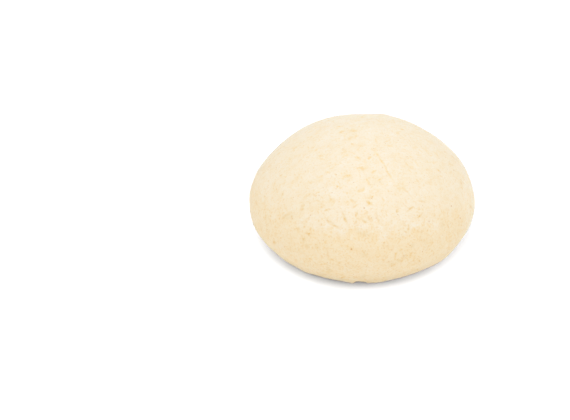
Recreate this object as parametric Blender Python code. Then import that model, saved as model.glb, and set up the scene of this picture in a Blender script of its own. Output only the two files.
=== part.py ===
"""Steamed yeast dumpling: one round of risen dough, shut all round, standing on its flat foot.

Metres, +Z up. The origin is on the surface that the dumpling rests on, under the middle of its
bounding box.
"""

import math

import bmesh
import bpy
import numpy as np

# Driving dimensions
WIDTH = 0.100  # across the widest part, on average round the plan
HEIGHT = 0.054
WIDEST_HEIGHT = 0.0181  # of the widest part, over the foot
FOOT_INSET = 0.0147  # from the widest part in to the rim of the flat foot
FULLNESS = 1.76  # power of the section's curves: 2 would be an ellipse, 1 a cone
LEAN = 0.0010  # of the top towards +X

# The plan is a little uneven: waves in a turn, their swell as a share of the radius, and the
# azimuth of one swell in degrees
PLAN_WAVES = (
    (2, 0.0096, 48),
    (3, 0.0017, -52),
    (4, 0.0013, 33),
    (5, 0.0021, -20),
    (6, 0.0020, 11),
)

# Lumps and hollows that show on the outline: azimuth in degrees, height of the middle, reach
# and rise, which is negative for a hollow
LUMPS = (
    (-125, 0.0035, 0.0032, 0.00050),
    (-98, 0.0026, 0.0020, 0.00050),
    (-93, 0.0026, 0.0018, -0.00055),
    (-83, 0.0026, 0.0048, 0.00056),
    (-40, 0.0056, 0.0065, 0.00058),
    (-12, 0.0160, 0.0170, 0.00040),
    (12, 0.0290, 0.0080, 0.00022),
    (-174, 0.0160, 0.0080, -0.00024),
    (-149, 0.0062, 0.0070, -0.00024),
    (70, 0.0453, 0.0032, 0.00058),
    (88, 0.0458, 0.0080, -0.00036),
    (46, 0.0415, 0.0080, -0.00010),
    (150, 0.0330, 0.0090, -0.00036),
)

# Soft dents and swells all round, that the dough keeps from being shaped and proved
DENT_SEED = 11
DENT_COUNT = 24
DENT_REACH = (0.0045, 0.0095)  # smallest and largest
DENT_DEPTH = 0.00016  # most, in or out
DENT_FLOOR = -0.25  # height of the lowest one's direction, on a ball of radius 1
FOOT_EASE = 0.0015  # height over which the lumps and dents fade out above the foot

# Resolution
GRID_CELLS = 30  # along each side of the cube whose grid is wrapped round the dumpling
SECTION_STEPS = 120  # points on each of the section's two curves

# Steamed white dough
DOUGH_COLOUR = (0.89, 0.75, 0.54, 1.0)
DOUGH_ROUGHNESS = 0.55


def clear_scene():
    for thing in list(bpy.data.objects):
        bpy.data.objects.remove(thing, do_unlink=True)


def section():
    """The half section from the top to the middle of the foot.

    Returns how far along it each point lies, from 0 to 1, with its radius and height.
    """
    turn = np.linspace(0, math.pi / 2, SECTION_STEPS)
    rising = np.sin(turn) ** (2 / FULLNESS)
    falling = np.cos(turn) ** (2 / FULLNESS)
    foot_radius = WIDTH / 2 - FOOT_INSET
    dome_radii = WIDTH / 2 * rising
    dome_heights = WIDEST_HEIGHT + (HEIGHT - WIDEST_HEIGHT) * falling
    edge_radii = foot_radius + FOOT_INSET * falling
    edge_heights = WIDEST_HEIGHT * (1 - rising)
    radii = np.concatenate([dome_radii, edge_radii[1:], [0]])
    heights = np.concatenate([dome_heights, edge_heights[1:], [0]])
    steps = np.hypot(np.diff(radii), np.diff(heights))
    along = np.concatenate([[0], np.cumsum(steps)])
    return along / along[-1], radii, heights


def plan_swell(azimuths):
    """How far out the plan swells at each azimuth, as a factor on the radius."""
    swell = np.ones_like(azimuths)
    for waves, size, peak in PLAN_WAVES:
        swell += size * np.cos(waves * (azimuths - math.radians(peak)))
    return swell


def wrap(directions):
    """Places each direction from the middle of a ball on the bare dumpling."""
    along, radii, heights = section()
    azimuths = np.arctan2(directions[:, 1], directions[:, 0])
    down = np.arccos(np.clip(directions[:, 2], -1, 1)) / math.pi
    radius = np.interp(down, along, radii) * plan_swell(azimuths)
    height = np.interp(down, along, heights)
    return np.column_stack(
        [
            radius * np.cos(azimuths) + LEAN * height / HEIGHT,
            radius * np.sin(azimuths),
            height,
        ]
    )


def ball_grid(mesh):
    """Makes an even grid of quads on a ball, with no poles, and returns its directions."""
    bmesh.ops.create_cube(mesh, size=2)
    bmesh.ops.subdivide_edges(mesh, edges=mesh.edges, cuts=GRID_CELLS - 1, use_grid_fill=True)
    corners = np.array([vertex.co for vertex in mesh.verts])
    evened = np.tan(corners * math.pi / 4)
    return evened / np.linalg.norm(evened, axis=1, keepdims=True)


def skin_directions(azimuths, downs):
    """Directions for azimuths and for how far down the section they point, from 0 to 1."""
    turns = np.asarray(downs) * math.pi
    level = np.sin(turns)
    return np.column_stack([level * np.cos(azimuths), level * np.sin(azimuths), np.cos(turns)])


def lumps():
    """The middle, reach and rise of each lump that shows on the outline."""
    azimuths, heights, reaches, rises = np.array(LUMPS).T
    along, _, section_heights = section()
    downs = np.interp(heights, section_heights[::-1], along[::-1])
    return list(zip(wrap(skin_directions(np.radians(azimuths), downs)), reaches, rises))


def dents():
    """The middle, reach and rise of each soft dent, spread evenly over all but the foot."""
    draw = np.random.default_rng(DENT_SEED)
    azimuths = draw.uniform(-math.pi, math.pi, DENT_COUNT)
    downs = np.arccos(draw.uniform(DENT_FLOOR, 1, DENT_COUNT)) / math.pi
    reaches = draw.uniform(*DENT_REACH, DENT_COUNT)
    rises = draw.uniform(-DENT_DEPTH, DENT_DEPTH, DENT_COUNT)
    return list(zip(wrap(skin_directions(azimuths, downs)), reaches, rises))


def knead(places, normals):
    """Moves the places out or in by the lumps and dents, and keeps the foot flat."""
    lift = np.zeros(len(places))
    for middle, reach, rise in lumps() + dents():
        distance = np.linalg.norm(places - middle, axis=1)
        lift += rise * np.exp(-((distance / reach) ** 2))
    free = np.clip(places[:, 2] / FOOT_EASE, 0, 1)
    kneaded = places + normals * (lift * free)[:, None]
    kneaded[:, 2] = np.maximum(kneaded[:, 2], 0)
    return kneaded


def set_places(mesh, places):
    for vertex, place in zip(mesh.verts, places):
        vertex.co = place
    mesh.normal_update()


def centred(places):
    """The places moved so that the middle of their bounding box lies over the origin."""
    middle = (places.min(axis=0) + places.max(axis=0)) / 2
    middle[2] = 0
    return places - middle


def dough_material():
    material = bpy.data.materials.new("steamed_dough")
    material.use_nodes = True
    shader = material.node_tree.nodes["Principled BSDF"]
    shader.inputs["Base Color"].default_value = DOUGH_COLOUR
    shader.inputs["Roughness"].default_value = DOUGH_ROUGHNESS
    shader.inputs["Metallic"].default_value = 0.0
    return material


def make_dumpling():
    shape = bmesh.new()
    directions = ball_grid(shape)
    set_places(shape, wrap(directions))
    normals = np.array([vertex.normal for vertex in shape.verts])
    places = np.array([vertex.co for vertex in shape.verts])
    set_places(shape, centred(knead(places, normals)))
    mesh = bpy.data.meshes.new("dumpling")
    shape.to_mesh(mesh)
    shape.free()
    mesh.shade_smooth()
    mesh.materials.append(dough_material())
    dumpling = bpy.data.objects.new("dumpling", mesh)
    bpy.context.scene.collection.objects.link(dumpling)
    return dumpling


clear_scene()
make_dumpling()
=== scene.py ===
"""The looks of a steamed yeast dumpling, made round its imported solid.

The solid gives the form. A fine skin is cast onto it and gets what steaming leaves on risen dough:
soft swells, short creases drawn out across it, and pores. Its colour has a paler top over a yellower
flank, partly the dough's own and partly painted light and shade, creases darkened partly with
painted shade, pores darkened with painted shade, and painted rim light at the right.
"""

import math
from types import SimpleNamespace

import bmesh
import bpy
import numpy as np
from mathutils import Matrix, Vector, noise
from mathutils.bvhtree import BVHTree
from mathutils.kdtree import KDTree

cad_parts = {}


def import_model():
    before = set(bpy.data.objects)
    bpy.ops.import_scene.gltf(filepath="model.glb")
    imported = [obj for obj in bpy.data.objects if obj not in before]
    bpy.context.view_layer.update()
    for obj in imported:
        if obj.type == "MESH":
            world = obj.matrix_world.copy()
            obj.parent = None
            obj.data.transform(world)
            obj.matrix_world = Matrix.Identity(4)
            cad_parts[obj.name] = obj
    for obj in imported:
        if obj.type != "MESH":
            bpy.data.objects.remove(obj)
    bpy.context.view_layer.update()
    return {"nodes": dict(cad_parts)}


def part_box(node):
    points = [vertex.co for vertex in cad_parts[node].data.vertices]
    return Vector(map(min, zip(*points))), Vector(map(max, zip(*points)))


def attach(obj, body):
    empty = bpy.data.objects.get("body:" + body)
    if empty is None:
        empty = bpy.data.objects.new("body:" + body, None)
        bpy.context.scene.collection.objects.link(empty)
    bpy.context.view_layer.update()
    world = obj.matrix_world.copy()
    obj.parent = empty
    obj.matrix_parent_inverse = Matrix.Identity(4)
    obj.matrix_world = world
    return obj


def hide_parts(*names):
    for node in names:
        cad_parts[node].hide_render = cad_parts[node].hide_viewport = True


MM = 0.001

# The picture's camera
LENS_MM = 85
SENSOR_MM = 36
CAMERA_PLACE = (-0.0341, -0.5052, 0.3401)
CAMERA_PITCH = 33  # degrees down, looking along +Y

# Soft light: how bright all round is, as a share of white, and two wide lamps: place, size and
# watts of the one overhead and the one in front
LIGHT_ROUND = 0.865
LAMPS = (
    ((0, 0, 1.2), 1.2, 2.5),
    ((0.12, -0.7, 1.25), 1.0, 2.15),
)

# The floor's two sheets
FLOOR_RADIUS = 20
FLOOR_SIDES = 96
FLOOR_GAP = 0.1 * MM  # from the foot down to the upper sheet, and from that to the lower one
SHOWN_WHITENESS = (0.2, 0.10)  # in front of the dumpling, where its shadow falls, and elsewhere
NEAR_MIDDLE = (-0.006, -0.02, 0)  # of that whiter patch in front, once it is narrowed
NEAR_REACH = (0.036, 0.085)  # from that middle: where the patch starts to fade, and where it ends
NEAR_NARROWNESS = 1.2  # times narrower to the sides than to the front
GLOW_REACH = (0.3, 0.8)  # from the origin: where the upper sheet starts to glow white, and does
BOUNCE_WHITENESS = 0.95
BOUNCE_GLOW = 0.035  # of the lower sheet by itself, which lifts the rim of the dumpling

# The lamps that light only the upper sheet: a ring of them, and one overhead
RING_LAMPS = 10
RING_ELEVATION = 16  # degrees
RING_REACH = 2.0
RING_SIZE = 1.0
RING_WATTS = 42
OVERHEAD_PLACE = (0.12, -0.1, 1.2)
OVERHEAD_SIZE = 4.0
OVERHEAD_WATTS = 500

# The skin's grid
GRID_CELLS = 128  # along each side of the cube whose grid is cast onto the solid
WIDEST_SHARE = 1 / 3  # of the dumpling's height: where it is widest, and where the cast starts
CASTING_AHEAD = 12 * MM  # in front of the middle it starts, so that the front gets the finer grid
RUBBING_ROUNDS = 30  # of evening out, which takes the solid's facets away
RUBBING_STEPS = (0.6, -0.62)  # a round's moves: to the neighbours' middle, and a little more back
FOOT_EASE = 1.5 * MM  # height over which the relief fades out above the foot

# Relief: size across and most rise or depth
SWELL_SIZE = 8 * MM
SWELL_RISE = 0.10 * MM
SWELL_GAIN = 1.5  # makes the noise reach from about -1 to 1
GRAIN_SIZE = 1.1 * MM
GRAIN_RISE = 0.022 * MM
GRAIN_STRETCH = 1.5  # times longer the way the dough was rolled out
GRAIN_LAYERS = ((1, 1.3), (2.1, 0.6))  # how many times finer, and strength

# Nibs and notches at the rim of the foot: azimuth in degrees, and height, reach and rise in
# millimetres
RIM_MARKS = (
    (-97.3, 2.2, 0.9, 0.40),
    (-93.5, 2.2, 1.2, -0.25),
    (-90.8, 2.2, 1.2, -0.40),
    (-88.2, 2.2, 1.0, 0.30),
)

# Creases that stand out in the picture: how far right and back of the middle, length (all in
# millimetres), turn on the skin from across towards the back in degrees, and strength. They were
# read off the picture in pixels, turned into these numbers by a program, and then adjusted
PLAIN_CREASES = (
    (7.4, -21.4, 23.0, -60, 0.75),
    (31.3, -14.4, 3.0, -24, 0.8),
    (17.3, -18.7, 2.8, -39, 0.6),
    (21.5, -17.0, 4.6, -53, 0.5),
    (-14.6, -41.7, 8.6, -53, 1.0),
    (-9.6, -40.9, 7.5, -80, 1.0),
    (-4.7, -40.4, 2.6, 62, 1.2),
    (4.1, -41.6, 7.4, -74, 0.6),
    (17.7, -36.5, 5.6, 52, 0.9),
    (-6.0, -36.2, 3.8, -43, 0.8),
    (-5.1, -42.7, 2.8, 26, 0.8),
    (-1.4, -42.7, 2.8, -34, 1.3),
    (2.9, -24.9, 3.4, 44, 1.0),
    (16.5, -30.9, 6.5, -33, 0.35),
    (-16.3, -23.3, 3.2, -4, 0.6),
    (-2.6, -32.6, 4.0, 26, 1.1),
    (-15.0, -34.6, 3.4, -67, 0.5),
    (-26.9, -32.2, 2.8, 7, 0.8),
    (-33.4, -31.5, 8.0, -7, 0.6),
    (-2.4, -23.5, 4.9, -3, 1.0),
    (-3.2, -18.7, 3.4, -37, 1.1),
    (-8.7, -16.8, 4.2, 18, 0.9),
    (4.6, -8.9, 4.0, -80, 0.6),
    (-10.4, -30.3, 3.6, 15, 0.4),
    (1.4, -18.8, 3.0, 40, 1.0),
    (-9.3, -0.3, 3.4, 11, 0.9),
    (-4.4, -1.7, 3.0, -12, 1.0),
    (-8.4, -26.5, 5.0, 1, 0.9),
    (0.5, -29.1, 4.2, -69, 0.9),
    (5.2, -28.1, 2.8, 32, 0.9),
    (-11.6, -30.3, 3.8, -10, 0.8),
    (23.1, -32.3, 4.8, 6, 0.65),
)
CREASE_WIDTH = 0.50 * MM
CREASE_DEPTH = 0.11 * MM  # of any crease of strength 1
MARK_WIDTH = 0.85 * MM  # half the width of a plain crease's colour
MARK_FADE = (2, 4)  # times the crease's width: how far off that colour starts to fade, and ends
WAVER = 0.55 * MM  # of that colour's middle, most
WAVER_SIZE = 2.5 * MM

# Pores, and soft yellowish and olive spots, that stand out in the picture: place and reach in
# millimetres, and strength. Most of the pores were found in the picture by a program, the spots
# were read off it, and a program turned the places of them all into millimetres
PLAIN_PORES = (
    (-6.7, -48.4, 24.2, 0.50, 1.6),
    (-1.4, -38.8, 38.2, 0.50, 1.2),
    (15.3, -47.1, 19.8, 0.45, 0.6),
    (6.7, -47.1, 26.4, 0.45, 0.6),
    (-2.8, -43.8, 32.6, 0.45, 0.6),
    (10.1, -47.7, 23.3, 0.45, 0.5),
    (-27.8, -35.5, 31.1, 0.45, 0.5),
    (-16.7, -40.3, 33.2, 0.45, 0.4),
    (36.3, -26.3, 31.1, 0.55, 1.3),
    (40.5, -26.1, 24.9, 0.55, 1.2),
    (26.0, -37.1, 30.5, 0.50, 1.0),
    (38.9, -7.5, 37.3, 0.55, 1.1),
)
YELLOW_SPOTS = (
    (-15.0, -34.8, 39.1, 2.6, 0.5),
    (-6.7, -48.4, 24.2, 1.1, 0.6),
    (-5.1, -1.2, 53.5, 2.4, 0.75),
    (-6.3, -6.7, 52.9, 1.6, 0.55),
    (-1.1, -23.8, 48.0, 2.0, 0.5),
    (27.0, -23.2, 40.9, 2.2, 0.4),
    (-32.5, -31.3, 31.1, 1.6, 0.3),
    (-7.3, -45.1, 30.3, 1.6, 0.45),
    (-20.6, -45.0, 22.7, 2.0, 0.35),
    (-24.4, -42.6, 21.9, 1.8, 0.5),
    (-26.3, -41.4, 24.0, 1.5, 0.6),
    (10.6, -48.3, 16.1, 2.2, 0.65),
)
OLIVE_SPOTS = (
    (-26.4, -41.2, 24.0, 1.6, 1.3),
    (-20.6, -45.0, 22.7, 2.0, 0.7),
    (-24.4, -42.6, 21.9, 1.8, 1.1),
    (-1.5, -49.3, 22.4, 2.6, 0.9),
    (10.4, -48.5, 16.8, 2.6, 0.9),
    (15.5, -47.0, 19.8, 1.6, 0.9),
)

# Creases all round, from a seeded rule
CREASE_SEED = 5
CREASE_COUNT = 2600
CREASE_LENGTHS = (0.8 * MM, 3.6 * MM)
CREASE_WIDTHS = (0.30 * MM, 0.50 * MM)
CREASE_TURN_SPREAD = 32  # degrees
CREASE_STRENGTHS = (0.08, 0.6)  # weakest and strongest, most of them near the weakest
CREASE_BEND = 0.25  # most, as a share of the length
CREASE_FADE = 2  # widths to the side: where a crease has all but ended

# The dough's colour from the flank to the top: partly its own, and partly painted light on the top
# and painted shade down the flank
FLANK_COLOUR_AND_SHADE = (0.893, 0.747, 0.520)
TOP_COLOUR_AND_LIGHT = (0.894, 0.792, 0.628)
FLANK_HEIGHTS = (22 * MM, 43.5 * MM)  # below the first all flank, above the second all top
SHADE_EDGE_HEIGHTS = (27.5 * MM, 30.5 * MM)  # where part of that change shows as a soft edge, painted where the light from above gives way to shade
SHADE_EDGE_SHARE = 0.4
WANDER_SIZE = 6 * MM
WANDER_RISE = 14 * MM  # of those heights from place to place, from lowest to highest

# What marks in the dough multiply its colour by, with painted rim light and painted shade among them
YELLOW = (0.968, 0.885, 0.675)
OLIVE = (0.965, 0.955, 0.92)
PALE = (1.005, 1.03, 1.08)
# painted rim light on the right side
RIM_LIGHT_TINT = (1.035, 1.09, 1.21)
PALE_BAND_TINT = (1.01, 1.04, 1.115)
# painted shade in the pores
PORE_SHADE = (0.80, 0.60, 0.40)
CREASE_COLOURS_AND_SHADE = ((0.93, 0.80, 0.53), (0.98, 0.85, 0.53))  # on the flank and on top: partly the folds' own colour, partly painted shade in them
TINT_HEIGHTS = (34 * MM, 46 * MM)  # below the first the one, above the second the other

# Where the colour changes softly. Levels of a noise are where a mark starts and where it is full
CONTRAST = (1.10, 0.86)  # of the mottle and the specks, on the flank and on top
PATCH_SIZE = 7 * MM
BLOTCH_LEVELS = (0.35, 0.65)
BLOTCH_SHARE = 0.10
DAMP_LEVELS = (0.64, 0.74)
MOTTLE_SIZE = 4 * MM
YELLOW_MOTTLE_LEVELS = (0.47, 0.83)
PALE_MOTTLE_LEVELS = (0.52, 0.30)
SPECK_SIZE = 0.8 * MM
SPECK_SPAN = 0.3  # from the noise's middle to a full speck, yellow above it and pale below it
PALE_SPECK_SHARE = 0.6
PALE_BAND_SIZE = 3 * MM
PALE_BAND_LEVELS = (0.42, 0.62)
PALE_BAND_HEIGHTS = (36 * MM, 31 * MM)  # above the first none of the pale band, below the second all of it
PALE_BAND_DEPTHS = (-30 * MM, -40 * MM)  # behind the first none of it, in front of the second all of it
SIDE_SHADE_REACH = (14 * MM, 32 * MM)  # from the middle: where the sides of the top turn yellower, as painted shade
SIDE_SHADE_SHARE = 0.13
RIM_LIGHT_REACH = (41 * MM, 49 * MM)  # from the middle to the right: where that side turns paler, as painted rim light

# Fine strokes of colour, where the skin was folded in, darkened partly with painted shade: spacing,
# length, half width and strength
STROKES = (
    (4.6 * MM, 5.2 * MM, 1.0 * MM, 0.88),
    (2.7 * MM, 2.6 * MM, 0.62 * MM, 0.68),
)
ROLLED_TURN = 20  # degrees from across towards the back: how they and the mottle are drawn out
STROKE_TURN_SPREAD = 70  # degrees, most, either way
DOWN_REACH = (12 * MM, 42 * MM)  # from the middle: where more and more of them run down the slope
DOWN_SHARE = 0.75  # of them at most
STROKE_WARP = 2.2 * MM
STROKE_WARP_SHARE = 0.7  # its waves' size, of a stroke's length
GAP_SIZE = 1.4 * MM  # of the gaps that break the strokes up
GAP_LEVELS = (0.3, 0.7)  # of a noise: below the first a gap, above the second none
STROKE_GAPS = (0.2, 1.8)  # times as strong: in a gap, and between gaps
PLAIN_GAPS = (0.35, 1.65)  # the same, of a plain crease's colour
PLAIN_STRENGTH = 0.7  # of a plain crease's colour, before that
STROKE_CONTRAST = (0.95, 1.0)  # of all of these, on the flank and on top

# Pores all round, and what is finer than the grid
PORE_SPACING = 1.8 * MM
PORE_RADIUS = 0.30 * MM
PORE_CORE = 1 / 3  # of the radius, where a pore is as dark as it gets
FINE_SIZE = 0.8 * MM
BUMP_HEIGHT = 0.03 * MM

# Steamed dough lets some light in
ROUGHNESS = 0.55
SUBSURFACE_SHARE = 0.4
SUBSURFACE_REACH = 1.5 * MM

# The two inputs and the output of a Mix node, by what it mixes
MIX_SOCKETS = {"FLOAT": (2, 3, 0), "VECTOR": (4, 5, 1), "RGBA": (6, 7, 2)}


def main():
    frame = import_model()
    skin = make_skin(frame["nodes"]["dumpling"])
    skin.data.materials.append(dough_material())
    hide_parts("dumpling")
    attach(skin, "root")
    light_floor(make_floors())
    light_scene()
    place_camera()


def make_skin(solid):
    """The fine skin, as an object of its own in the solid's place."""
    places, faces, edges = cast_grid(solid)
    places = rubbed(places, edges)
    mesh = bpy.data.meshes.new("dumpling_skin")
    mesh.from_pydata(places.tolist(), [], faces)
    normals = vertex_normals(mesh)
    crease = depth_in_creases(places, normals)
    rise = SWELL_RISE * swell_of(places) + GRAIN_RISE * grain_of(places) - CREASE_DEPTH * crease
    rise += rim_marks(places)
    free = np.clip(places[:, 2] / FOOT_EASE, 0, 1)
    places = places + normals * (rise * free)[:, None]
    places[:, 2] = np.maximum(places[:, 2], 0)
    mesh.vertices.foreach_set("co", places.astype(np.float32).ravel())
    attribute = mesh.attributes.new("plain_crease", "FLOAT_VECTOR", "POINT")
    attribute.data.foreach_set("vector", plain_marks(places, normals).astype(np.float32).ravel())
    mesh.update()
    mesh.shade_smooth()
    skin = bpy.data.objects.new("dumpling_skin", mesh)
    bpy.context.scene.collection.objects.link(skin)
    return skin


def cast_grid(solid):
    """An even grid of quads with no poles, cast from inside the dumpling onto its solid."""
    shape = bmesh.new()
    bmesh.ops.create_cube(shape, size=2)
    bmesh.ops.subdivide_edges(shape, edges=shape.edges, cuts=GRID_CELLS - 1, use_grid_fill=True)
    # The tangent makes the cells about as wide at the cube's corners as in the middle of its sides
    directions = np.tan(np.array([vertex.co for vertex in shape.verts]) * math.pi / 4)
    directions /= np.linalg.norm(directions, axis=1, keepdims=True)
    faces = [[vertex.index for vertex in face.verts] for face in shape.faces]
    edges = np.array([[vertex.index for vertex in edge.verts] for edge in shape.edges])
    shape.free()

    low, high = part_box("dumpling")
    size = high - low
    middle = (low + high) / 2 - Vector((0, CASTING_AHEAD, 0))
    middle.z = size.z * WIDEST_SHARE
    upright = np.where(directions[:, 2] > 0, high.z - middle.z, middle.z - low.z)
    level = np.full_like(upright, size.x / 2)
    rays = directions * np.column_stack([level, level, upright])
    surface = BVHTree.FromObject(solid, bpy.context.evaluated_depsgraph_get())
    places = np.array([surface.ray_cast(middle, Vector(ray))[0] for ray in rays])
    return places, faces, edges


def rubbed(places, edges):
    """The places evened out with their neighbours, round after round, without shrinking."""
    ends = np.concatenate([edges, edges[:, ::-1]])
    neighbours = np.bincount(ends[:, 0], minlength=len(places))[:, None]
    for step in RUBBING_STEPS * RUBBING_ROUNDS:
        total = np.column_stack(
            [
                np.bincount(ends[:, 0], weights=places[ends[:, 1], axis], minlength=len(places))
                for axis in range(3)
            ]
        )
        places = places + step * (total / neighbours - places)
    return places


def vertex_normals(mesh):
    normals = np.empty(len(mesh.vertices) * 3, np.float32)
    mesh.vertex_normals.foreach_get("vector", normals)
    return normals.reshape(-1, 3).astype(float)


def noise_at(places):
    return np.array([noise.noise(Vector(place)) for place in places])


def swell_of(places):
    """The soft swells at each place, from about -1 to 1."""
    return SWELL_GAIN * noise_at(places / SWELL_SIZE)


def grain_of(places):
    """The skin's fine unevenness, from about -1 to 1, drawn out across."""
    spots = places / (GRAIN_SIZE * np.array([GRAIN_STRETCH, 1, 1]))
    return sum(strength * noise_at(spots * finer) for finer, strength in GRAIN_LAYERS)


def rim_marks(places):
    """The rise of the nibs and notches at the rim of the foot."""
    rise = np.zeros(len(places))
    azimuths = np.arctan2(places[:, 1], places[:, 0])
    radii = np.hypot(places[:, 0], places[:, 1])
    for azimuth, height, reach, size in RIM_MARKS:
        aside = (azimuths - math.radians(azimuth)) * radii
        spot = places[np.hypot(aside, places[:, 2] - height * MM).argmin()]
        distance = np.linalg.norm(places - spot, axis=1)
        rise += size * MM * np.exp(-((distance / (reach * MM)) ** 2))
    return rise


def depth_in_creases(places, normals):
    """How deep in a crease each place is: 0 outside them all, 1 in the middle of one of strength 1."""
    near = KDTree(len(places))
    for index, place in enumerate(places):
        near.insert(place, index)
    near.balance()
    depth = np.zeros(len(places))
    creases = plain_creases(places) + scattered_creases(places)
    for middle, length, turn, strength, width, bend in creases:
        normal = normals[near.find(middle)[1]]
        reach = length / 2 + CREASE_FADE * width
        found = np.array([index for _, index, _ in near.find_range(middle, reach)])
        along, across = run_of(places[found] - middle, normal, turn)
        along /= length / 2
        across -= bend * length * (along**2 - 0.5)
        fading = np.clip(1 - along**2, 0, 1)
        marks = strength * fading * np.exp(-((across / width) ** 2))
        depth[found] = np.maximum(depth[found], marks)
    return depth


def plain_creases(places):
    """The picture's plainest creases: middle, length, turn, strength, width and bend of each."""
    upper = places[places[:, 2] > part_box("dumpling")[1].z * WIDEST_SHARE]
    found = []
    for right, back, length, turn, strength in PLAIN_CREASES:
        aside = np.hypot(upper[:, 0] - right * MM, upper[:, 1] - back * MM)
        middle = upper[aside.argmin()]
        found.append((middle, length * MM, math.radians(turn), strength, CREASE_WIDTH, 0.0))
    return found


def scattered_creases(places):
    """Creases all over the skin but for the foot, drawn by a seeded rule."""
    draw = np.random.default_rng(CREASE_SEED)
    skin = places[places[:, 2] > 2 * FOOT_EASE]
    middles = skin[draw.integers(0, len(skin), CREASE_COUNT)]
    lengths = draw.uniform(*CREASE_LENGTHS, CREASE_COUNT)
    turns = np.radians(draw.normal(0, CREASE_TURN_SPREAD, CREASE_COUNT))
    weak, strong = CREASE_STRENGTHS
    strengths = weak + (strong - weak) * draw.random(CREASE_COUNT) ** 3
    widths = draw.uniform(*CREASE_WIDTHS, CREASE_COUNT)
    bends = draw.uniform(-CREASE_BEND, CREASE_BEND, CREASE_COUNT)
    return list(zip(middles, lengths, turns, strengths, widths, bends))


def plain_marks(places, normals):
    """Where each place lies along and across its nearest plain crease, and that crease's strength.

    The first is the square of how many half lengths it is from the middle, and the second is in
    widths of the crease's colour. Both have a sign and change evenly over the skin, so the material
    can draw a crease finer than the grid. The strength fades to 0 where no crease is near.
    """
    marks = np.zeros((len(places), 3))
    nearest = np.full(len(places), np.inf)
    waver = WAVER * noise_at(places / WAVER_SIZE)
    fade_start, fade_end = MARK_FADE
    for middle, length, turn, strength, width, _ in plain_creases(places):
        offsets = places - middle
        normal = normals[np.linalg.norm(offsets, axis=1).argmin()]
        along, across = run_of(offsets, normal, turn)
        past = np.clip(np.abs(along) - length / 2, 0, None)
        # Depth counts half, because the skin curves away from the plane of a long crease
        away = np.linalg.norm(np.column_stack([past, across, offsets @ normal / 2]), axis=1)
        fading = np.clip((fade_end - away / width) / (fade_end - fade_start), 0, 1)
        across += waver
        along *= np.abs(along) / (length / 2) ** 2
        own = away < nearest
        marks[own] = np.column_stack([along, across / MARK_WIDTH, strength * fading])[own]
        nearest[own] = away[own]
    return marks


def run_of(offsets, normal, turn):
    """How far the offsets reach along and across a crease with this turn on the skin."""
    level = np.cross((0.0, 1.0, 0.0), normal)
    level /= np.linalg.norm(level)
    run = math.cos(turn) * level + math.sin(turn) * np.cross(normal, level)
    return offsets @ run, offsets @ np.cross(normal, run)


def dough_material():
    """Steamed dough: a pale top and yellower flank, partly painted light and shade; mottled, creased,
    pored.
    """
    material = bpy.data.materials.new("steamed_dough")
    material.use_nodes = True
    tree = material.node_tree
    skin = skin_fields(tree)
    creases = crease_share(tree, skin)
    pores = sum_of(tree, pores_of(tree, skin.place), spots_of(tree, skin.place, PLAIN_PORES))

    # partly the dough's own colour, and partly painted light on the top and painted shade down the
    # flank
    colour = mixed(tree, skin.top, opaque(FLANK_COLOUR_AND_SHADE), opaque(TOP_COLOUR_AND_LIGHT))
    colour = mottled(tree, skin, colour)
    colour = with_pale_band(tree, skin, colour)
    colour = shade_and_rim_light(tree, skin, colour)
    colour = spotted(tree, skin, colour)
    # the creases' own colour, and partly painted shade in them
    colour = mixed(tree, creases, colour, crease_colour_and_shade(tree, skin), blend="MULTIPLY")
    # painted shade in the pores
    colour = tinted(tree, colour, PORE_SHADE, pores)

    shader = shader_of(material)
    tree.links.new(colour, shader.inputs["Base Color"])
    tree.links.new(bumped(tree, skin, sum_of(tree, pores, creases)), shader.inputs["Normal"])
    shader.inputs["Roughness"].default_value = ROUGHNESS
    shader.inputs["Subsurface Weight"].default_value = SUBSURFACE_SHARE
    shader.inputs["Subsurface Radius"].default_value = (1.0, 1.0, 1.0)
    shader.inputs["Subsurface Scale"].default_value = SUBSURFACE_REACH
    return material


def skin_fields(tree):
    """What the dough's patterns go by at each point of the skin."""
    coordinates = add(tree, "TexCoord").outputs
    place = coordinates["Object"]
    right, back, up = split(tree, place)
    unturned = turned(tree, place, -math.radians(ROLLED_TURN))
    wander = noise_of(tree, place, WANDER_SIZE, detail=4, roughness=0.6)
    height = sum_of(tree, up, product_of(tree, centred(tree, wander), WANDER_RISE))
    broad = ramp_of(tree, height, *FLANK_HEIGHTS)
    edge = ramp_of(tree, height, *SHADE_EDGE_HEIGHTS)
    return SimpleNamespace(
        place=place,
        normal=coordinates["Normal"],
        right=right,
        back=back,
        up=up,
        rolled=vector(tree, "MULTIPLY", unturned, (1 / GRAIN_STRETCH, 1, 1)),
        height=height,
        edge=edge,
        top=mixed(tree, SHADE_EDGE_SHARE, broad, edge, kind="FLOAT"),
        patches=noise_of(tree, place, PATCH_SIZE, detail=1),
    )


def mottled(tree, skin, colour):
    """The colour with broad blotches, a mottle drawn out as the dough was rolled, and specks."""
    contrast = mixed(tree, skin.top, *CONTRAST, kind="FLOAT")
    blotch = ramp_of(tree, skin.patches, *BLOTCH_LEVELS)
    colour = tinted(tree, colour, YELLOW, product_of(tree, blotch, BLOTCH_SHARE))
    mottle = noise_of(tree, skin.rolled, MOTTLE_SIZE, detail=4, roughness=0.85)
    yellow = ramp_of(tree, mottle, *YELLOW_MOTTLE_LEVELS)
    colour = tinted(tree, colour, YELLOW, product_of(tree, yellow, contrast))
    colour = tinted(tree, colour, PALE, ramp_of(tree, mottle, *PALE_MOTTLE_LEVELS))
    speck = noise_of(tree, skin.place, SPECK_SIZE, detail=1)
    speck = product_of(tree, centred(tree, speck), contrast)
    colour = tinted(tree, colour, YELLOW, ramp_of(tree, speck, 0, SPECK_SPAN))
    pale = product_of(tree, ramp_of(tree, speck, 0, -SPECK_SPAN), PALE_SPECK_SHARE)
    return tinted(tree, colour, PALE, pale)


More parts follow.
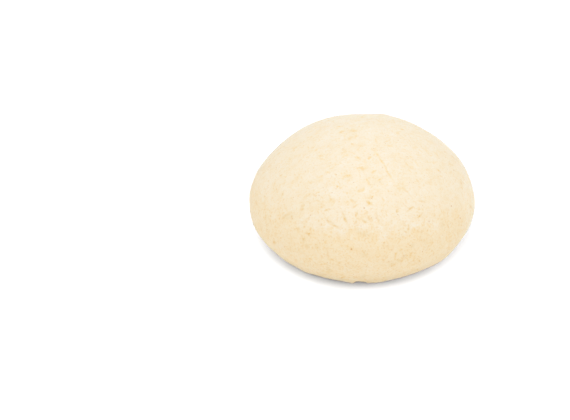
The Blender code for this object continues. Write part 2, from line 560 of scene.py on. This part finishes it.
def with_pale_band(tree, skin, colour):
    """The colour with a pale wavy band along the front of the soft edge of the top."""
    share = product_of(tree, skin.edge, ramp_of(tree, skin.height, *PALE_BAND_HEIGHTS))
    share = product_of(tree, share, ramp_of(tree, skin.back, *PALE_BAND_DEPTHS))
    band_noise = noise_of(tree, skin.rolled, PALE_BAND_SIZE, detail=4, roughness=0.8)
    share = product_of(tree, share, ramp_of(tree, band_noise, *PALE_BAND_LEVELS))
    return tinted(tree, colour, PALE_BAND_TINT, share)


def shade_and_rim_light(tree, skin, colour):
    """The colour with painted shade, yellower at both sides of the top, and painted rim light, paler
    at the far right.
    """
    aside = add(tree, "Math", {0: skin.right}, operation="ABSOLUTE").outputs[0]
    # painted shade: the sides of the top yellower and darker where they turn from the light
    share = product_of(tree, ramp_of(tree, aside, *SIDE_SHADE_REACH), skin.top)
    colour = tinted(tree, colour, YELLOW, product_of(tree, share, SIDE_SHADE_SHARE))
    # painted rim light: the far right side paler
    return tinted(tree, colour, RIM_LIGHT_TINT, ramp_of(tree, skin.right, *RIM_LIGHT_REACH))


def spotted(tree, skin, colour):
    """The colour with soft spots: damp olive ones on the flank, and yellow ones."""
    flank = sum_of(tree, 1, product_of(tree, skin.top, -1))
    damp = product_of(tree, ramp_of(tree, skin.patches, *DAMP_LEVELS), flank)
    olive = sum_of(tree, damp, spots_of(tree, skin.place, OLIVE_SPOTS))
    colour = tinted(tree, colour, OLIVE, olive)
    return tinted(tree, colour, YELLOW, spots_of(tree, skin.place, YELLOW_SPOTS))


def spots_of(tree, place, spots):
    """Round soft spots, each with its own place, reach and strength."""
    total = 0.0
    for right, back, height, reach, strength in spots:
        away = vector(tree, "DISTANCE", place, (right * MM, back * MM, height * MM))
        total = sum_of(tree, total, product_of(tree, ramp_of(tree, away, reach * MM, 0.0), strength))
    return total


def crease_share(tree, skin):
    """How much of a crease's colour each point has, from the strokes and the plain creases."""
    strokes = 0.0
    for spacing, length, width, strength in STROKES:
        layer = scattered_strokes(tree, skin, spacing, length, width)
        strokes = sum_of(tree, strokes, product_of(tree, layer, strength))
    whole = noise_of(tree, skin.place, GAP_SIZE, detail=2, roughness=0.7)
    whole = ramp_of(tree, whole, *GAP_LEVELS)
    strokes = product_of(tree, strokes, mixed(tree, whole, *STROKE_GAPS, kind="FLOAT"))
    plain = product_of(tree, plain_strokes(tree), mixed(tree, whole, *PLAIN_GAPS, kind="FLOAT"))
    strokes = sum_of(tree, strokes, product_of(tree, plain, PLAIN_STRENGTH))
    return product_of(tree, strokes, mixed(tree, skin.top, *STROKE_CONTRAST, kind="FLOAT"))


def scattered_strokes(tree, skin, spacing, length, width):
    """Short strokes scattered over the skin, each with its own turn and strength."""
    place = warped(tree, skin.place, STROKE_WARP_SHARE * length)
    cells = add(tree, "TexVoronoi", {"Vector": place, "Scale": 1 / spacing}).outputs
    turn, strength, chance = split(tree, cells["Color"])
    way = stroke_way(tree, cells["Position"], chance)
    aside = vector(tree, "NORMALIZE", vector(tree, "CROSS_PRODUCT", skin.normal, way))
    run = vector(tree, "CROSS_PRODUCT", aside, skin.normal)
    offset = vector(tree, "SUBTRACT", place, cells["Position"])
    parts = [vector(tree, "DOT_PRODUCT", offset, axis) for axis in (run, aside, skin.normal)]
    local = add(tree, "CombineXYZ", dict(enumerate(parts))).outputs[0]
    spread = 2 * math.radians(STROKE_TURN_SPREAD)
    local = turned(tree, local, product_of(tree, centred(tree, turn), spread))
    local = vector(tree, "MULTIPLY", local, (2 / length, 1 / width, 2 / length))
    inside = ramp_of(tree, vector(tree, "LENGTH", local), 1.0, 0.0)
    return product_of(tree, inside, product_of(tree, strength, strength))


def warped(tree, place, size):
    """The place moved about in waves of this size, so that no stroke is straight."""
    sockets = {"Vector": place, "Scale": 1 / size, "Detail": 2.0}
    waves = add(tree, "TexNoise", sockets).outputs["Color"]
    waves = vector(tree, "SUBTRACT", waves, (0.5, 0.5, 0.5))
    return vector(tree, "ADD", place, vector(tree, "MULTIPLY", waves, (STROKE_WARP,) * 3))


def stroke_way(tree, middle, chance):
    """The way a stroke runs: as the dough was rolled out or, by chance and further out, downhill."""
    out = vector(tree, "LENGTH", vector(tree, "MULTIPLY", middle, (1, 1, 0)))
    share = product_of(tree, ramp_of(tree, out, *DOWN_REACH), DOWN_SHARE)
    downhill = add(tree, "Math", {0: chance, 1: share}, operation="LESS_THAN").outputs[0]
    turn = math.radians(ROLLED_TURN)
    rolled = (math.cos(turn), math.sin(turn), 0)
    return mixed(tree, downhill, rolled, (0, 0, 1), kind="VECTOR")


def plain_strokes(tree):
    """The picture's plainest creases, from what the skin keeps of them."""
    kept = add(tree, "Attribute", attribute_name="plain_crease").outputs["Vector"]
    strength = split(tree, kept)[2]
    away = vector(tree, "LENGTH", vector(tree, "MULTIPLY", kept, (1, 1, 0)))
    return product_of(tree, strength, ramp_of(tree, away, 1.0, 0.0))


def crease_colour_and_shade(tree, skin):
    """What a crease multiplies the colour by at its height: partly its own colour, partly painted
    shade.
    """
    flank_tint, top_tint = CREASE_COLOURS_AND_SHADE
    share = ramp_of(tree, skin.up, *TINT_HEIGHTS)
    return mixed(tree, share, opaque(flank_tint), opaque(top_tint))


def pores_of(tree, place):
    """Small round pores, each cut open at its own depth and with its own strength."""
    cells = add(tree, "TexVoronoi", {"Vector": place, "Scale": 1 / PORE_SPACING}).outputs
    radius = PORE_RADIUS / PORE_SPACING
    inside = ramp_of(tree, cells["Distance"], radius, radius * PORE_CORE)
    strength = split(tree, cells["Color"])[0]
    return product_of(tree, inside, product_of(tree, strength, strength))


def bumped(tree, skin, hollows):
    """The normal, bent by the finest grain and by the hollows of creases and pores."""
    grain = noise_of(tree, skin.rolled, FINE_SIZE, detail=3, roughness=0.7)
    relief = sum_of(tree, grain, product_of(tree, hollows, -1))
    return add(tree, "Bump", {"Distance": BUMP_HEIGHT, "Height": relief}).outputs["Normal"]


def add(tree, kind, sockets=None, **settings):
    """A new node: each socket's value or the output it is linked to, and its settings."""
    node = tree.nodes.new("ShaderNode" + kind)
    for name, value in settings.items():
        setattr(node, name, value)
    for name, value in (sockets or {}).items():
        if isinstance(value, bpy.types.NodeSocket):
            tree.links.new(value, node.inputs[name])
        else:
            node.inputs[name].default_value = value
    return node


def shader_of(material):
    return material.node_tree.nodes["Principled BSDF"]


def opaque(colour):
    return (*colour, 1)


def vector(tree, operation, first, second=(0, 0, 0)):
    """The result of a vector operation: a number for a length, distance or dot product."""
    node = add(tree, "VectorMath", {0: first, 1: second}, operation=operation)
    return node.outputs["Value" if operation in ("LENGTH", "DISTANCE", "DOT_PRODUCT") else "Vector"]


def turned(tree, place, angle):
    """The place turned round the Z axis."""
    return add(tree, "VectorRotate", {0: place, "Angle": angle}, rotation_type="Z_AXIS").outputs[0]


def split(tree, place):
    """The three numbers of a place or a colour."""
    return add(tree, "SeparateXYZ", {0: place}).outputs


def sum_of(tree, first, second):
    return add(tree, "Math", {0: first, 1: second}, operation="ADD").outputs[0]


def product_of(tree, first, second):
    return add(tree, "Math", {0: first, 1: second}, operation="MULTIPLY").outputs[0]


def centred(tree, value):
    """A value from 0 to 1, moved to lie round 0."""
    return sum_of(tree, value, -0.5)


def ramp_of(tree, value, start, end):
    """A smooth step from 0 at the start to 1 at the end."""
    sockets = {"Value": value, "From Min": start, "From Max": end}
    return add(tree, "MapRange", sockets, interpolation_type="SMOOTHSTEP").outputs["Result"]


def noise_of(tree, place, size, detail, roughness=0.5):
    """Noise from 0 to 1 round a half, in waves of this size."""
    sockets = {"Vector": place, "Scale": 1 / size, "Detail": detail, "Roughness": roughness}
    return add(tree, "TexNoise", sockets).outputs["Fac"]


def mixed(tree, share, first, second, kind="RGBA", blend="MIX"):
    """Two colours, numbers or vectors, blended as far as the share says."""
    start, end, result = MIX_SOCKETS[kind]
    sockets = {0: share, start: first, end: second}
    return add(tree, "Mix", sockets, data_type=kind, blend_type=blend).outputs[result]


def tinted(tree, colour, tint, share):
    """The colour multiplied by the tint, as far as the share says."""
    return mixed(tree, share, colour, opaque(tint), blend="MULTIPLY")


def make_floors():
    """The white surface, as two sheets that lie on each other. Returns the upper one.

    The upper one is what shows: overexposed, as in the picture, so that the shadow on it is narrow.
    The lower one doesn't show and isn't overexposed. It glows faintly and sends the light that
    falls on it up to the dumpling.
    """
    shown = floor_sheet("floor", FLOOR_GAP)
    shown.visible_diffuse = False
    shown.visible_glossy = False
    shown.visible_shadow = False
    shade_shown_floor(shown.active_material)
    bounce = floor_sheet("floor_bounce", 2 * FLOOR_GAP)
    bounce.visible_camera = False
    shader = shader_of(bounce.active_material)
    shader.inputs["Base Color"].default_value = grey(BOUNCE_WHITENESS)
    shader.inputs["Emission Strength"].default_value = BOUNCE_GLOW
    return shown


def floor_sheet(name, depth):
    """A wide round sheet of matte floor, which can glow white."""
    bpy.ops.mesh.primitive_circle_add(
        vertices=FLOOR_SIDES, radius=FLOOR_RADIUS, fill_type="NGON", location=(0, 0, -depth)
    )
    floor = bpy.context.object
    floor.name = name
    material = bpy.data.materials.new(name)
    material.use_nodes = True
    shader = shader_of(material)
    shader.inputs["Roughness"].default_value = 1.0
    shader.inputs["Specular IOR Level"].default_value = 0.0
    shader.inputs["Emission Color"].default_value = grey(1)
    floor.data.materials.append(material)
    return floor


def shade_shown_floor(material):
    """Overexposes the floor less away from the dumpling, and makes it glow where no lamp reaches."""
    tree = material.node_tree
    shader = shader_of(material)
    place = add(tree, "TexCoord").outputs["Object"]
    narrowed = vector(tree, "MULTIPLY", place, (NEAR_NARROWNESS, 1, 1))
    away = ramp_of(tree, vector(tree, "DISTANCE", narrowed, NEAR_MIDDLE), *NEAR_REACH)
    near, far = SHOWN_WHITENESS
    tree.links.new(mixed(tree, away, grey(near), grey(far)), shader.inputs["Base Color"])
    glow = ramp_of(tree, vector(tree, "LENGTH", place), *GLOW_REACH)
    tree.links.new(glow, shader.inputs["Emission Strength"])


def grey(whiteness):
    return opaque((whiteness,) * 3)


def light_floor(floor):
    """Lamps in a ring and overhead that light the floor alone, and so overexpose it."""
    lit = bpy.data.collections.new("lit_by_floor_lamps")
    lit.objects.link(floor)
    rise = math.radians(RING_ELEVATION)
    for step in range(RING_LAMPS):
        turn = 2 * math.pi * step / RING_LAMPS
        level = Vector((math.cos(turn), math.sin(turn), 0)) * math.cos(rise)
        place = (level + Vector((0, 0, math.sin(rise)))) * RING_REACH
        add_lamp("floor_ring_lamp", place, RING_SIZE, RING_WATTS, lit)
    add_lamp("floor_top_lamp", Vector(OVERHEAD_PLACE), OVERHEAD_SIZE, OVERHEAD_WATTS, lit)


def light_scene():
    """Soft white light from all round, and the wide lamps."""
    world = bpy.data.worlds.new("white_studio")
    bpy.context.scene.world = world
    world.use_nodes = True
    sky = world.node_tree.nodes["Background"]
    sky.inputs["Color"].default_value = grey(1)
    sky.inputs["Strength"].default_value = LIGHT_ROUND
    for place, size, watts in LAMPS:
        add_lamp("soft_box", Vector(place), size, watts)


def add_lamp(name, place, size, watts, lit=None):
    """A round lamp that faces the origin and lights all things, or those in one collection."""
    data = bpy.data.lights.new(name, "AREA")
    data.shape = "DISK"
    data.size = size
    data.energy = watts
    lamp = bpy.data.objects.new(name, data)
    lamp.location = place
    lamp.rotation_euler = (-place).to_track_quat("-Z", "Y").to_euler()
    lamp.visible_camera = False
    lamp.light_linking.receiver_collection = lit
    bpy.context.scene.collection.objects.link(lamp)


def place_camera():
    """The picture's camera, and colours shown as they are."""
    data = bpy.data.cameras.new("picture_camera")
    data.lens = LENS_MM
    data.sensor_width = SENSOR_MM
    camera = bpy.data.objects.new("picture_camera", data)
    camera.location = CAMERA_PLACE
    camera.rotation_euler = (math.radians(90 - CAMERA_PITCH), 0, 0)
    bpy.context.scene.collection.objects.link(camera)
    bpy.context.scene.camera = camera
    bpy.context.scene.view_settings.view_transform = "Standard"


main()
